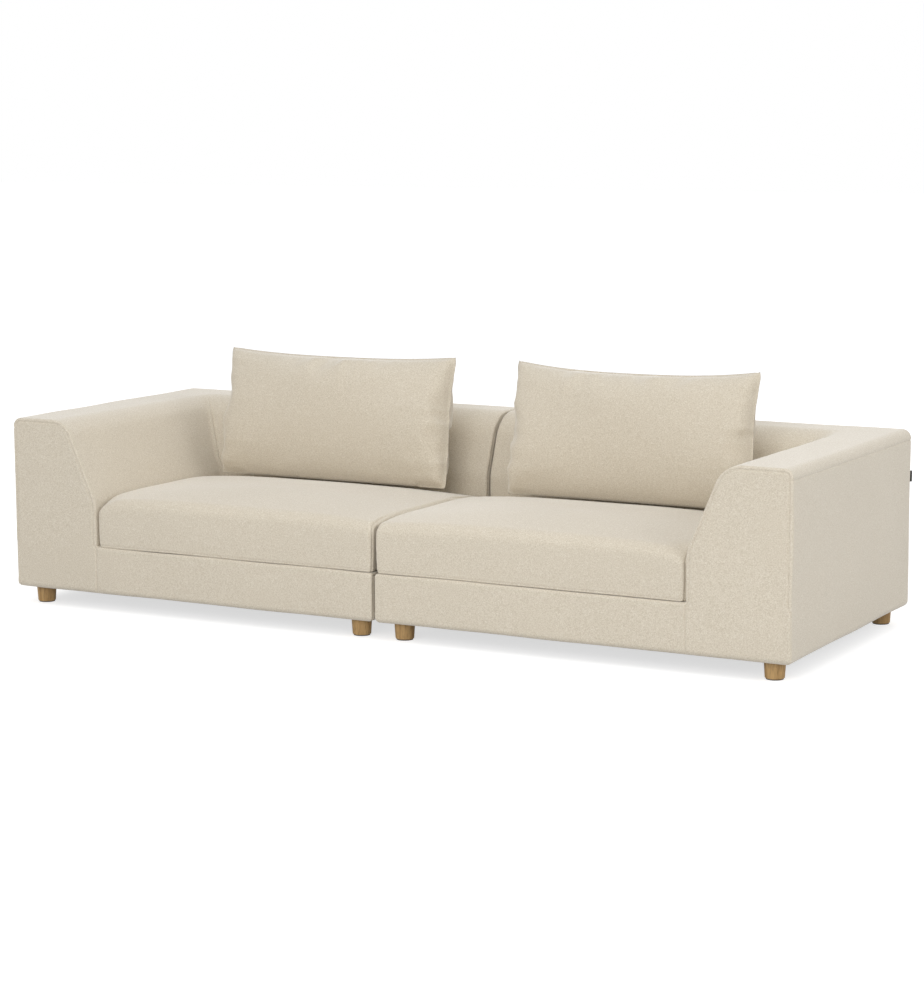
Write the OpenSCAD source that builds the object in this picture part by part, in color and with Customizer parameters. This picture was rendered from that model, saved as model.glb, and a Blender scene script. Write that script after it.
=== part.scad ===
// Two-piece upholstered sofa: two mirrored one-arm seats side by side, each with
// one loose seat cushion and one leaning back cushion, on short turned wooden legs.
// Origin on the floor under the middle of the sofa, front towards -Y, +Z up.

/* [Module] */
// Width of one of the two seats
module_w = 1365; // [1250:5:1450]
// Space between the two seats
module_gap = 10; // [6:1:20]
// Depth from the front to the rear
depth = 1040; // [1000:5:1100]
// Height of the arms and the back
body_h = 620; // [600:5:660]
// Height of the upholstered body's underside
body_z = 55; // [50:1:60]
// Height of the deck that the seat cushion lies on
deck_z = 210; // [205:1:225]
// Radius of the body's long edges and corners
edge_r = 22; // [15:1:28]

/* [Arms and back] */
// Thickness of an arm at its foot
arm_foot_w = 326; // [310:1:345]
// Thickness of an arm at its top
arm_top_w = 214; // [200:1:230]
// Height at which an arm starts to lean
arm_bend_z = 360; // [330:5:390]
// Thickness of the back at its foot
back_foot_t = 277; // [260:1:290]
// Thickness of the back at its top
back_top_t = 205; // [190:1:220]
// Height at which the back starts to lean
back_bend_z = 420; // [390:5:450]

/* [Cushions] */
// Height of the seat cushion along its front and side edges
seat_edge_z = 374; // [360:1:385]
// Height of the seat cushion along its rear edge
seat_rear_z = 350; // [340:1:365]
// Height of the middle of the seat cushion
seat_top_z = 404; // [395:1:415]
// Width of a back cushion
pillow_w = 880; // [800:5:900]
// Height of a back cushion from seam to seam
pillow_h = 434; // [410:1:440]
// Bulge of a back cushion towards the sitter
pillow_front = 112; // [90:1:120]
// Bulge of a back cushion towards the back
pillow_rear = 134; // [100:1:138]
// Lean of a back cushion from upright
pillow_lean = 10.5; // [8:0.5:12]
// Distance from the outer side to the left back cushion
left_pillow_at = 412; // [390:1:440]
// Distance from the outer side to the right back cushion
right_pillow_at = 376; // [370:1:440]

/* [Legs] */
// Leg diameter at the top
leg_top_d = 65; // [60:1:68]
// Leg diameter at the bottom
leg_foot_d = 58; // [50:1:60]
// Thickness of the felt under a leg
glide_t = 3; // [2:1:4]
// Distance from a leg's axis to the nearer side
leg_side = 72; // [70:1:75]
// Distance from a leg's axis to the front or rear
leg_end = 64; // [60:1:70]

/* [Hidden] */
module_parts = [
    "base_frame", "corner_blocks", "arm_frame", "back_frame", "seat_springs", "spring_clips",
    "deck_pad", "base_foam", "arm_foam", "back_foam", "body_cover", "dust_cover",
    "leg_front_outer", "leg_front_inner", "leg_rear_outer", "leg_rear_inner",
    "leg_studs", "leg_t_nuts", "leg_glides", "connector_screws",
    "seat_cover", "seat_foam", "seat_zip", "seat_zip_slider",
    "pillow_cover", "pillow_fill", "pillow_zip", "pillow_zip_slider"
];

$fn = 48;
eps = 0.5;
sofa_w = 2 * module_w + module_gap;

fabric_t = 2;
wall_t = 24;
rail_t = 22;
rail_top = 167;
slip = 0.4;
cut = 400;

corner_bend_r = 110;
arm_top_outer_r = 28;
arm_top_inner_r = 46;
back_top_front_r = 75;
back_top_rear_r = 26;

fold_under = 26;
leg_hole_r = leg_top_d / 2 + 1;
stud_r = 4;
stud_in_leg = 30;
block_t = 40;
nut_r = 5.3;
nut_barrel = 12;
nut_flange_r = 11;
nut_flange_t = 1.6;

spring_count = 7;
spring_wire = 4;
spring_wave = 60;
spring_step = 26;
spring_rail_y = depth / 2 - back_foot_t;
clip_w = 24;
clip_l = 10;
clip_t = 2;

seat_gap = 2;
seat_front_r = 34;
seat_side_r = 20;
foam_gap = 2.4;
zip_w = 20;
zip_t = 1.2;
slider_l = 12;
slider_w = 7;
slider_t = 2.4;

pillow_seam = 12;
pillow_bottom_z = 386;
pillow_seam_y = 96;
pillow_skin = 1.5;

blade_t = 3;
blade_w = 40;
blade_z = 47;
jaw_z = 44;
jaw_w = 60;
jaw_slot = 5;
connector_y = 300;
screw_x = module_gap / 2 + wall_t + rail_t / 2;
screw_r = 2.2;
screw_l = 30;

linen = [0.80, 0.75, 0.67];
timber = [0.80, 0.66, 0.46];
oak = [0.80, 0.66, 0.48];
foam_white = [0.93, 0.91, 0.84];
felt_grey = [0.42, 0.40, 0.38];
steel = [0.62, 0.63, 0.65];
black_cloth = [0.10, 0.10, 0.11];

// Outlines: a convex outline listed counter-clockwise as [x, y, corner radius],
// moved inwards by a wall thickness and rounded at each corner.

function unit(v) = v / norm(v);
function xy(c) = [c[0], c[1]];
function inward(a, b) = unit([a[1] - b[1], b[0] - a[0]]);

function moved_corner(a, p, b, wall) =
    let (m = inward(a, p), n = inward(p, b))
    p + wall * (m + n) / (1 + m * n);

function moved(corners, wall) =
    let (last = len(corners) - 1)
    [
        for (i = [0:last])
            let (a = corners[i == 0 ? last : i - 1], p = corners[i], b = corners[i == last ? 0 : i + 1])
            concat(moved_corner(xy(a), xy(p), xy(b), wall), max(p[2] - wall, 0))
    ];

function swing(from, to) =
    let (turn = to - from)
    turn > 180 ? turn - 360 : turn < -180 ? turn + 360 : turn;

function corner_arc(a, p, b, r, steps) =
    let (
        u = unit(a - p),
        v = unit(b - p),
        half = acos(u * v) / 2,
        centre = p + r / sin(half) * unit(u + v),
        start = p + r / tan(half) * u - centre,
        end = p + r / tan(half) * v - centre,
        from = atan2(start[1], start[0]),
        turn = swing(from, atan2(end[1], end[0]))
    )
    [for (k = [0:steps]) centre + r * [cos(from + turn * k / steps), sin(from + turn * k / steps)]];

function outline(corners, wall = 0, steps = 6) =
    let (inner = moved(corners, wall), last = len(corners) - 1)
    [
        for (i = [0:last])
            let (a = inner[i == 0 ? last : i - 1], p = inner[i], b = inner[i == last ? 0 : i + 1])
            for (q = p[2] < 1 ? [xy(p)] : corner_arc(xy(a), xy(p), xy(b), p[2], steps)) q
    ];

// Extrusions along each axis: an outline drawn as [x, y] along Z,
// as [x, z] along Y and as [y, z] along X.

module along_z(points, low, high) {
    translate([0, 0, low])
        linear_extrude(height = high - low)
            polygon(points);
}

module along_y(points, low, high) {
    translate([0, high, 0])
        rotate([90, 0, 0])
            linear_extrude(height = high - low)
                polygon(points);
}

module along_x(points, low, high) {
    translate([low, 0, 0])
        rotate([90, 0, 90])
            linear_extrude(height = high - low)
                polygon(points);
}

module box(low, high) {
    translate(low)
        cube(high - low);
}

// A module's own frame: x runs from its outer side, at 0, to its inner side.

module place(side) {
    if (side == "left") {
        translate([-sofa_w / 2, 0, 0])
            children();
    } else {
        translate([sofa_w / 2, 0, 0])
            mirror([1, 0, 0])
                children();
    }
}

plan = [
    [0, -depth / 2, edge_r],
    [module_w, -depth / 2, edge_r],
    [module_w, depth / 2, edge_r],
    [0, depth / 2, edge_r]
];
front_view = [
    [0, body_z, edge_r / 2],
    [module_w, body_z, edge_r / 2],
    [module_w, body_h, edge_r],
    [0, body_h, edge_r]
];
side_view = [
    [-depth / 2, body_z, edge_r / 2],
    [depth / 2, body_z, edge_r / 2],
    [depth / 2, body_h, back_top_rear_r],
    [-depth / 2, body_h, edge_r]
];
arm_section = [
    [0, 0, 0],
    [arm_foot_w, 0, 0],
    [arm_foot_w, arm_bend_z, corner_bend_r],
    [arm_top_w, body_h, arm_top_inner_r],
    [0, body_h, arm_top_outer_r]
];
back_section = [
    [depth / 2 - back_foot_t, 0, 0],
    [depth / 2, 0, 0],
    [depth / 2, body_h, back_top_rear_r],
    [depth / 2 - back_top_t, body_h, back_top_front_r],
    [depth / 2 - back_foot_t, back_bend_z, corner_bend_r]
];

module block(wall) {
    intersection() {
        along_z(outline(plan, wall), 0, body_h);
        along_y(outline(front_view, wall), -depth, depth);
        along_x(outline(side_view, wall), -depth, module_w + depth);
    }
}

module below(z) {
    box([-cut, -depth, -cut], [module_w + cut, depth, z]);
}

module above(z) {
    box([-cut, -depth, z], [module_w + cut, depth, body_h + cut]);
}

module arm_body(wall) {
    intersection() {
        block(wall);
        along_y(outline(arm_section, wall), -depth, depth);
    }
}

module back_body(wall) {
    intersection() {
        block(wall);
        along_x(outline(back_section, wall), -depth, module_w + depth);
    }
}

module base_body(wall) {
    intersection() {
        block(wall);
        below(deck_z - wall);
    }
}

// Space inside the padding that the timber frame stands in.
module frame_space() {
    frame_top = deck_z - wall_t;
    box(
        [wall_t, -depth / 2 + wall_t, 0],
        [module_w - wall_t, depth / 2 - wall_t, frame_top]
    );
    intersection() {
        arm_body(wall_t);
        above(frame_top - eps);
    }
    intersection() {
        back_body(wall_t);
        above(frame_top - eps);
        box([arm_foot_w + wall_t, -depth, 0], [module_w, depth, body_h]);
    }
}

module body_cover() {
    color(linen)
        difference() {
            union() {
                base_body(0);
                arm_body(0);
                back_body(0);
            }
            base_body(fabric_t);
            arm_body(fabric_t);
            back_body(fabric_t);
            box(
                [fold_under, -depth / 2 + fold_under, 0],
                [module_w - fold_under, depth / 2 - fold_under, body_z + fabric_t + eps]
            );
        }
}

module arm_foam() {
    color(foam_white)
        difference() {
            arm_body(fabric_t);
            frame_space();
        }
}

module back_foam() {
    color(foam_white)
        difference() {
            back_body(fabric_t);
            arm_body(fabric_t);
            box([-cut, -depth, 0], [arm_top_w, depth, body_h + cut]);
            frame_space();
        }
}

module base_foam() {
    color(foam_white)
        difference() {
            base_body(fabric_t);
            arm_body(fabric_t);
            back_body(fabric_t);
            box([-cut, -depth, 0], [arm_foot_w - fabric_t, depth, body_h]);
            box([0, spring_rail_y + fabric_t, 0], [module_w, depth, body_h]);
            frame_space();
        }
}

module dust_cover() {
    color(black_cloth)
        difference() {
            box(
                [fold_under, -depth / 2 + fold_under, body_z],
                [module_w - fold_under, depth / 2 - fold_under, body_z + fabric_t]
            );
            at_legs()
                cylinder(r = leg_hole_r, h = cut, center = true);
            at_connectors()
                translate([0, 0, body_z])
                    cylinder(r = screw_r + eps, h = cut, center = true);
        }
}

// Timber frame

module rail_y(x) {
    box([x, -depth / 2 + wall_t, body_z + fabric_t], [x + rail_t, depth / 2 - wall_t, rail_top]);
}

module rail_x(y) {
    box([wall_t, y, body_z + fabric_t], [module_w - wall_t, y + rail_t, rail_top]);
}

module base_frame() {
    color(timber)
        difference() {
            union() {
                rail_y(wall_t);
                rail_y(arm_foot_w - wall_t - rail_t);
                rail_y(module_w - wall_t - rail_t);
                rail_x(-depth / 2 + wall_t);
                rail_x(spring_rail_y);
                rail_x(depth / 2 - wall_t - rail_t);
            }
            at_connectors()
                translate([0, 0, jaw_z])
                    cylinder(r = screw_r, h = screw_l + 15);
        }
}

module corner_blocks() {
    block_low = body_z + fabric_t;
    inset = wall_t + rail_t;
    color(timber)
        difference() {
            for (x = [inset, module_w - inset - 76]) {
                for (y = [-depth / 2 + inset, depth / 2 - inset - 70]) {
                    box([x, y, block_low], [x + 76, y + 70, block_low + block_t]);
                }
            }
            at_legs() {
                cylinder(r = stud_r + eps, h = cut, center = true);
                translate([0, 0, block_low + block_t - nut_barrel])
                    cylinder(r = nut_r, h = cut);
            }
        }
}

module arm_rib(y) {
    intersection() {
        arm_body(wall_t);
        box([0, y, rail_top], [arm_foot_w, y + rail_t, body_h]);
    }
}

module arm_frame() {
    front_y = -depth / 2 + wall_t;
    rear_y = depth / 2 - wall_t;
    window = [
        [wall_t + 60, rail_top + 50, 20],
        [arm_foot_w - wall_t - 60, rail_top + 50, 20],
        [arm_foot_w - wall_t - 60, arm_bend_z, 20],
        [arm_top_w - 60, body_h - wall_t - 70, 20],
        [wall_t + 60, body_h - wall_t - 70, 20]
    ];
    color(timber)
        difference() {
            union() {
                for (y = [front_y, -rail_t / 2, rear_y - rail_t]) {
                    arm_rib(y);
                }
                box([wall_t + 6, front_y, body_h - wall_t - rail_t], [arm_top_w - 60, rear_y, body_h - wall_t - 3]);
                box([wall_t, front_y, rail_top], [wall_t + rail_t, rear_y, rail_top + 60]);
                box(
                    [arm_foot_w - wall_t - rail_t, front_y, rail_top],
                    [arm_foot_w - wall_t, rear_y, rail_top + 90]
                );
            }
            along_y(outline(window), -depth, depth);
        }
}

module back_frame() {
    low_x = arm_foot_w + wall_t;
    high_x = module_w - wall_t;
    front_y = spring_rail_y + wall_t;
    rear_y = depth / 2 - wall_t;
    rib_step = (high_x - low_x - rail_t) / 3;
    color(timber)
        union() {
            for (i = [0:3]) {
                intersection() {
                    back_body(wall_t);
                    box(
                        [low_x + i * rib_step, 0, rail_top],
                        [low_x + i * rib_step + rail_t, depth, body_h]
                    );
                }
            }
            box([low_x, rear_y - 70, body_h - wall_t - rail_t], [high_x, rear_y - 5, body_h - wall_t - 3]);
            box([low_x, front_y, rail_top], [high_x, front_y + rail_t, rail_top + 80]);
            box([low_x, rear_y - rail_t, rail_top], [high_x, rear_y, rail_top + 80]);
        }
}

// Springs: flat zigzag wires from the front rail to the rail under the back.

spring_low_y = -depth / 2 + wall_t + rail_t / 2;
spring_high_y = spring_rail_y + rail_t / 2;
spring_bends = 2 * floor((spring_high_y - spring_low_y) / spring_step / 2);
first_spring_x = arm_foot_w + 90;
spring_pitch = (module_w - wall_t - 90 - first_spring_x) / (spring_count - 1);

function zigzag(side) = [
    for (i = [0:spring_bends])
        let (
            y = spring_low_y + (spring_high_y - spring_low_y) * i / spring_bends,
            swing = i == 0 || i == spring_bends ? 0 : (i % 2 == 0 ? 1 : -1) * spring_wave / 2
        )
        [swing + side * spring_wire * 0.7, y]
];

function reversed(list) = [for (i = [len(list) - 1:-1:0]) list[i]];

module at_springs() {
    for (i = [0:spring_count - 1]) {
        translate([first_spring_x + i * spring_pitch, 0, 0])
            children();
    }
}

module seat_springs() {
    color(steel)
        at_springs()
            along_z(concat(zigzag(1), reversed(zigzag(-1))), rail_top, rail_top + spring_wire);
}

module spring_clip(y) {
    difference() {
        box(
            [-clip_w / 2, y - clip_l / 2, rail_top],
            [clip_w / 2, y + clip_l / 2, rail_top + spring_wire + slip + clip_t]
        );
        box(
            [-clip_w / 2 + clip_t, y - clip_l, rail_top - eps],
            [clip_w / 2 - clip_t, y + clip_l, rail_top + spring_wire + slip]
        );
    }
}

module spring_clips() {
    color(steel)
        at_springs() {
            spring_clip(spring_low_y);
            spring_clip(spring_high_y);
        }
}

module deck_pad() {
    color(felt_grey)
        box(
            [arm_foot_w, -depth / 2 + wall_t, rail_top + spring_wire + slip + clip_t],
            [module_w - wall_t, spring_rail_y, deck_z - wall_t]
        );
}

// Legs: turned oak screwed into the corner blocks from below.

module at_leg(x, y) {
    translate([x, y, 0])
        children();
}

module at_legs() {
    for (x = [leg_side, module_w - leg_side]) {
        for (y = [-depth / 2 + leg_end, depth / 2 - leg_end]) {
            at_leg(x, y)
                children();
        }
    }
}

module leg() {
    leg_top = body_z + fabric_t;
    chamfer = 2;
    color(oak)
        difference() {
            rotate_extrude()
                polygon([
                    [0, glide_t],
                    [leg_foot_d / 2 - chamfer, glide_t],
                    [leg_foot_d / 2, glide_t + chamfer],
                    [leg_top_d / 2, leg_top],
                    [0, leg_top]
                ]);
            translate([0, 0, leg_top - stud_in_leg])
                cylinder(r = stud_r, h = stud_in_leg + eps);
        }
}

module leg_stud() {
    stud_low = body_z + fabric_t - stud_in_leg;
    stud_high = body_z + fabric_t + block_t;
    translate([0, 0, stud_low])
        cylinder(r = stud_r, h = stud_high - stud_low);
}

module leg_t_nut() {
    seat = body_z + fabric_t + block_t;
    difference() {
        union() {
            translate([0, 0, seat - nut_barrel])
                cylinder(r = nut_r, h = nut_barrel + eps);
            translate([0, 0, seat])
                cylinder(r = nut_flange_r, h = nut_flange_t);
        }
        cylinder(r = stud_r, h = cut, center = true);
    }
}

module leg_glide() {
    cylinder(r = leg_foot_d / 2 - 3, h = glide_t);
}

// Connectors under the inner sides: flat blades that slide into open jaws.

module at_connectors() {
    for (y = [-connector_y, connector_y]) {
        for (across = [-12, 12]) {
            translate([module_w - wall_t - rail_t / 2, y + across, 0])
                children();
        }
    }
}

module connector_screw() {
    translate([0, 0, body_z])
        cylinder(r = screw_r, h = screw_l);
    translate([0, 0, body_z - 3])
        cylinder(r1 = screw_r * 2, r2 = screw_r, h = 3);
}

module screw_holes() {
    for (across = [-12, 12]) {
        translate([screw_x, across, body_z - 3])
            cylinder(r1 = screw_r * 2, r2 = screw_r, h = 3);
        translate([screw_x, across, jaw_z - eps])
            cylinder(r = screw_r * 2, h = body_z - 3 - jaw_z + eps);
    }
}

module blade() {
    difference() {
        union() {
            box(
                [-screw_x - 25, -blade_w / 2, blade_z + blade_t],
                [-module_gap / 2 - 4, blade_w / 2, body_z]
            );
            box([-screw_x - 25, -blade_w / 2, blade_z], [screw_x + 5, blade_w / 2, blade_z + blade_t]);
        }
        mirror([1, 0, 0])
            screw_holes();
    }
}

module jaw() {
    slot_low = blade_z + blade_t / 2 - jaw_slot / 2;
    difference() {
        box([module_gap / 2 + 4, -jaw_w / 2, jaw_z], [screw_x + 25, jaw_w / 2, body_z]);
        box([0, -blade_w / 2 - 1, slot_low], [screw_x + 8, blade_w / 2 + 1, slot_low + jaw_slot]);
        screw_holes();
    }
}

module connector_blades() {
    color(steel)
        for (y = [-connector_y, connector_y]) {
            translate([0, y, 0])
                blade();
        }
}

module connector_jaws() {
    color(steel)
        for (y = [-connector_y, connector_y]) {
            translate([0, y, 0])
                jaw();
        }
}

// Seat cushion: crowned both ways, its zip along the rear edge.

seat_low_x = arm_foot_w + seat_gap;
seat_high_x = module_w - 1;
seat_low_y = -depth / 2 + 2;
seat_high_y = spring_rail_y - seat_gap;
seat_low_z = deck_z + slip;
zip_z = (seat_low_z + seat_edge_z) / 2;
seat_zip_l = seat_high_x - seat_low_x - 160;

function crowned(low, high, high_z, corner_r) =
    let (
        half = (high - low) / 2,
        edge = (seat_edge_z + high_z) / 2,
        peak = 2 * seat_top_z - edge
    )
    [
        [low, seat_low_z, 12],
        [high, seat_low_z, 12],
        [high, high_z, corner_r],
        [low + half, peak, half * half / (peak - edge) * 0.88],
        [low, seat_edge_z, corner_r]
    ];

module seat_body(wall) {
    intersection() {
        along_x(
            outline(crowned(seat_low_y, seat_high_y, seat_rear_z, seat_front_r), wall, 8),
            seat_low_x + wall,
            seat_high_x - wall
        );
        along_y(
            outline(crowned(seat_low_x, seat_high_x, seat_edge_z, seat_side_r), wall, 8),
            seat_low_y,
            seat_high_y
        );
    }
}

module zip_band(length, width, thickness) {
    translate([-length / 2, -thickness, -width / 2])
        cube([length, thickness, width]);
}

module seat_zip_place() {
    translate([(seat_low_x + seat_high_x) / 2, seat_high_y, zip_z])
        children();
}

module zip_pocket(length) {
    translate([-length / 2 - 10, -zip_t - slider_t - slip, -zip_w / 2])
        cube([length + 20, cut, zip_w]);
}

module zip_tape(length) {
    translate([0, -slider_t - slip, 0])
        zip_band(length, zip_w - 1, zip_t);
}

module zip_slider(length) {
    translate([-length / 2, -slider_t, -slider_w / 2])
        cube([slider_l, slider_t - slip / 2, slider_w]);
}

module seat_cover() {
    pocket_wall = 3;
    color(linen)
        difference() {
            union() {
                difference() {
                    seat_body(0);
                    seat_body(fabric_t);
                }
                intersection() {
                    seat_body(0);
                    seat_zip_place()
                        translate([-seat_zip_l / 2 - 14, -zip_t - slider_t - pocket_wall, -zip_w / 2 - pocket_wall])
                            cube([seat_zip_l + 28, cut, zip_w + 2 * pocket_wall]);
                }
            }
            seat_zip_place()
                zip_pocket(seat_zip_l);
        }
}

module seat_foam() {
    color(foam_white)
        difference() {
            seat_body(foam_gap);
            seat_zip_place()
                translate([-seat_zip_l / 2 - 20, -10, -zip_w])
                    cube([seat_zip_l + 40, cut, 2 * zip_w]);
        }
}

module seat_zip() {
    color(felt_grey)
        seat_zip_place()
            zip_tape(seat_zip_l);
}

module seat_zip_slider() {
    color(steel)
        seat_zip_place()
            zip_slider(seat_zip_l);
}

// Back cushion: a lens both ways with a thin seam edge all round, leaning back.

pillow_zip_l = pillow_w - 240;

function lens(span, front, rear) =
    let (half = span / 2, front_rise = 2 * (front - pillow_seam), rear_rise = 2 * (rear - pillow_seam))
    [
        [-half, -pillow_seam, 2],
        [0, -pillow_seam - front_rise, half * half / front_rise * 0.94],
        [half, -pillow_seam, 2],
        [half, pillow_seam, 2],
        [0, pillow_seam + rear_rise, half * half / rear_rise * 0.94],
        [-half, pillow_seam, 2]
    ];

function turned(corners) = [for (i = [len(corners) - 1:-1:0]) [corners[i][1], corners[i][0], corners[i][2]]];

module pillow_body(wall) {
    across = outline(lens(pillow_w, pillow_front, pillow_rear), wall, 8);
    upright = outline(turned(lens(pillow_h, pillow_front, pillow_rear)), wall, 8);
    intersection() {
        along_z(across, -pillow_h / 2 + wall, pillow_h / 2 - wall);
        along_x(upright, -pillow_w / 2 + wall, pillow_w / 2 - wall);
    }
}

module pillow_place(side) {
    at = side == "left" ? left_pillow_at : right_pillow_at;
    translate([at + pillow_w / 2, pillow_seam_y, pillow_bottom_z])
        rotate([-pillow_lean, 0, 0])
            translate([0, 0, pillow_h / 2])
                children();
}

module pillow_zip_place() {
    translate([0, 0, -pillow_h / 2])
        rotate([-90, 0, 0])
            children();
}

module pillow_cover(side) {
    pocket_wall = 1.5;
    pocket_w = slider_w + 2;
    color(linen)
        pillow_place(side)
            difference() {
                union() {
                    difference() {
                        pillow_body(0);
                        pillow_body(pillow_skin);
                    }
                    intersection() {
                        pillow_body(0);
                        pillow_zip_place()
                            translate([
                                -pillow_zip_l / 2 - 14,
                                -zip_t - slider_t - slip - pocket_wall,
                                -pocket_w / 2 - pocket_wall
                            ])
                                cube([pillow_zip_l + 28, cut, pocket_w + 2 * pocket_wall]);
                    }
                }
                pillow_zip_place()
                    translate([-pillow_zip_l / 2 - 10, -zip_t - slider_t - slip, -pocket_w / 2])
                        cube([pillow_zip_l + 20, cut, pocket_w]);
            }
}

module pillow_fill(side) {
    color(foam_white)
        pillow_place(side)
            difference() {
                pillow_body(pillow_skin + slip);
                pillow_zip_place()
                    translate([-pillow_zip_l / 2 - 20, -8, -zip_w])
                        cube([pillow_zip_l + 40, cut, 2 * zip_w]);
            }
}

module pillow_zip(side) {
    color(felt_grey)
        pillow_place(side)
            pillow_zip_place()
                translate([0, -slider_t - slip, 0])
                    zip_band(pillow_zip_l, slider_w + 1, zip_t);
}

module pillow_zip_slider(side) {
    color(steel)
        pillow_place(side)
            pillow_zip_place()
                zip_slider(pillow_zip_l);
}

module label_tab() {
    color(felt_grey)
        box([sofa_w / 2 - 20, depth / 2, 450], [sofa_w / 2 - 18.8, depth / 2 + 13, 485]);
}

module part(name, side) {
    if (name == "base_frame") base_frame();
    if (name == "corner_blocks") corner_blocks();
    if (name == "arm_frame") arm_frame();
    if (name == "back_frame") back_frame();
    if (name == "seat_springs") seat_springs();
    if (name == "spring_clips") spring_clips();
    if (name == "deck_pad") deck_pad();
    if (name == "base_foam") base_foam();
    if (name == "arm_foam") arm_foam();
    if (name == "back_foam") back_foam();
    if (name == "body_cover") body_cover();
    if (name == "dust_cover") dust_cover();
    if (name == "leg_front_outer") at_leg(leg_side, -depth / 2 + leg_end) leg();
    if (name == "leg_front_inner") at_leg(module_w - leg_side, -depth / 2 + leg_end) leg();
    if (name == "leg_rear_outer") at_leg(leg_side, depth / 2 - leg_end) leg();
    if (name == "leg_rear_inner") at_leg(module_w - leg_side, depth / 2 - leg_end) leg();
    if (name == "leg_studs") color(steel) at_legs() leg_stud();
    if (name == "leg_t_nuts") color(steel) at_legs() leg_t_nut();
    if (name == "leg_glides") color(felt_grey) at_legs() leg_glide();
    if (name == "connector_screws") color(steel) at_connectors() connector_screw();
    if (name == "seat_cover") seat_cover();
    if (name == "seat_foam") seat_foam();
    if (name == "seat_zip") seat_zip();
    if (name == "seat_zip_slider") seat_zip_slider();
    if (name == "pillow_cover") pillow_cover(side);
    if (name == "pillow_fill") pillow_fill(side);
    if (name == "pillow_zip") pillow_zip(side);
    if (name == "pillow_zip_slider") pillow_zip_slider(side);
}

for (side = ["left", "right"]) {
    for (name = module_parts) {
        place(side) part(name, side);
    }
}
connector_blades();
connector_jaws();
label_tab();
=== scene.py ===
import math

import bmesh
import bpy
import numpy as np
from mathutils import Matrix, Quaternion, Vector, noise


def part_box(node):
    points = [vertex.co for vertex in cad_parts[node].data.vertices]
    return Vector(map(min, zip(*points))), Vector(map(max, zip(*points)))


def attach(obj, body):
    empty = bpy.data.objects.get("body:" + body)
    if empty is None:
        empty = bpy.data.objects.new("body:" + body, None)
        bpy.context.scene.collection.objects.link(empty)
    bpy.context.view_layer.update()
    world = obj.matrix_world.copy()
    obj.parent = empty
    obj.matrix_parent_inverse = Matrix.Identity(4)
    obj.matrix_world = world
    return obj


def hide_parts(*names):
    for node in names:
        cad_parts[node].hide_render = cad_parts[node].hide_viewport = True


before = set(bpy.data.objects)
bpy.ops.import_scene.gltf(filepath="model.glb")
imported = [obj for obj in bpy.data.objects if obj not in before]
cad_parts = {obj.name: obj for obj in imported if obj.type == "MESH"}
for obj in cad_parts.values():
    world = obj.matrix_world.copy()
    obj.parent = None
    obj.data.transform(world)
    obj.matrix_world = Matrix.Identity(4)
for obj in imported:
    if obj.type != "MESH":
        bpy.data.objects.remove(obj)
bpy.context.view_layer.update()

collection = bpy.context.scene.collection
sides = ("left", "right")


# camera, light and floor

shot = {
    "azimuth": 28.37,  # degrees to the right of straight ahead
    "elevation": 8.6,
    "roll": -0.2,
    "distance": 7.75,
    "aim": (0.314, -0.52, 0.46),
    "lens": 92.93,
}


def makeCamera():
    data = bpy.data.cameras.new("camera")
    data.lens = shot["lens"]
    data.sensor_width = 36
    data.clip_end = 60
    camera = bpy.data.objects.new("camera", data)
    collection.objects.link(camera)
    turn, rise = math.radians(shot["azimuth"]), math.radians(shot["elevation"])
    back = Vector((math.sin(turn) * math.cos(rise), -math.cos(turn) * math.cos(rise), math.sin(rise)))
    camera.location = Vector(shot["aim"]) + back * shot["distance"]
    level = (-back).to_track_quat("-Z", "Y")
    camera.rotation_mode = "QUATERNION"
    camera.rotation_quaternion = level @ Quaternion((0, 0, 1), math.radians(shot["roll"]))
    bpy.context.scene.camera = camera


studio = {
    "horizon": 0.53,
    "zenith": 0.87,
    "floor": (0.56, 0.56, 0.56),
    "floorGlow": 0.14,
    "floorSeen": 0.66,  # glow of the paper to the eye, which lifts it to the white of the room
    "floorSize": 40,
    "lamps": {
        "keyLamp": {"place": (1.0, -5.4, 2.4), "aim": (0.3, 0, 0.45), "size": (3.6, 2.4), "power": 92},
        "sideLamp": {"place": (5.2, -1.0, 2.4), "aim": (0.2, 0, 0.45), "size": (3.0, 2.0), "power": 44},
        "rearLamp": {"place": (-1.5, 5.0, 2.6), "aim": (0, 0, 0.4), "size": (3.0, 2.0), "power": 50},
        "topLamp": {"place": (1.0, -2.2, 4.4), "aim": (0, 0, 0.4), "size": (3.2, 1.8), "power": 10},
    },
}


def addLamp(name, place, aim, size, power):
    data = bpy.data.lights.new(name, "AREA")
    data.shape = "RECTANGLE"
    data.size, data.size_y = size
    data.energy = power
    lamp = bpy.data.objects.new(name, data)
    lamp.location = place
    lamp.rotation_euler = (Vector(aim) - Vector(place)).to_track_quat("-Z", "Y").to_euler()
    collection.objects.link(lamp)


def makeStudio():
    scene = bpy.context.scene
    scene.view_settings.view_transform = "Standard"
    world = bpy.data.worlds.new("studio")
    world.use_nodes = True
    tree = world.node_tree
    place = addNode(tree, "ShaderNodeTexCoord").outputs["Generated"]
    height = addNode(tree, "ShaderNodeSeparateXYZ", {"Vector": place}).outputs["Z"]
    glow = rangeOf(tree, height, 0.05, 0.7, studio["horizon"], studio["zenith"])
    # the room is white to the eye, whatever light it gives
    eye = addNode(tree, "ShaderNodeLightPath").outputs["Is Camera Ray"]
    background = {"Color": (1, 1, 1, 1), "Strength": mathOf(tree, "MAXIMUM", glow, eye)}
    feed(tree, tree.nodes["Background"].inputs, background)
    scene.world = world
    for name, lamp in studio["lamps"].items():
        addLamp(name, **lamp)
    bm = bmesh.new()
    bmesh.ops.create_grid(bm, x_segments=1, y_segments=1, size=studio["floorSize"])
    floor = meshPiece("floor", bm)
    paint(floor, floorPaper())


# small helpers

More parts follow.
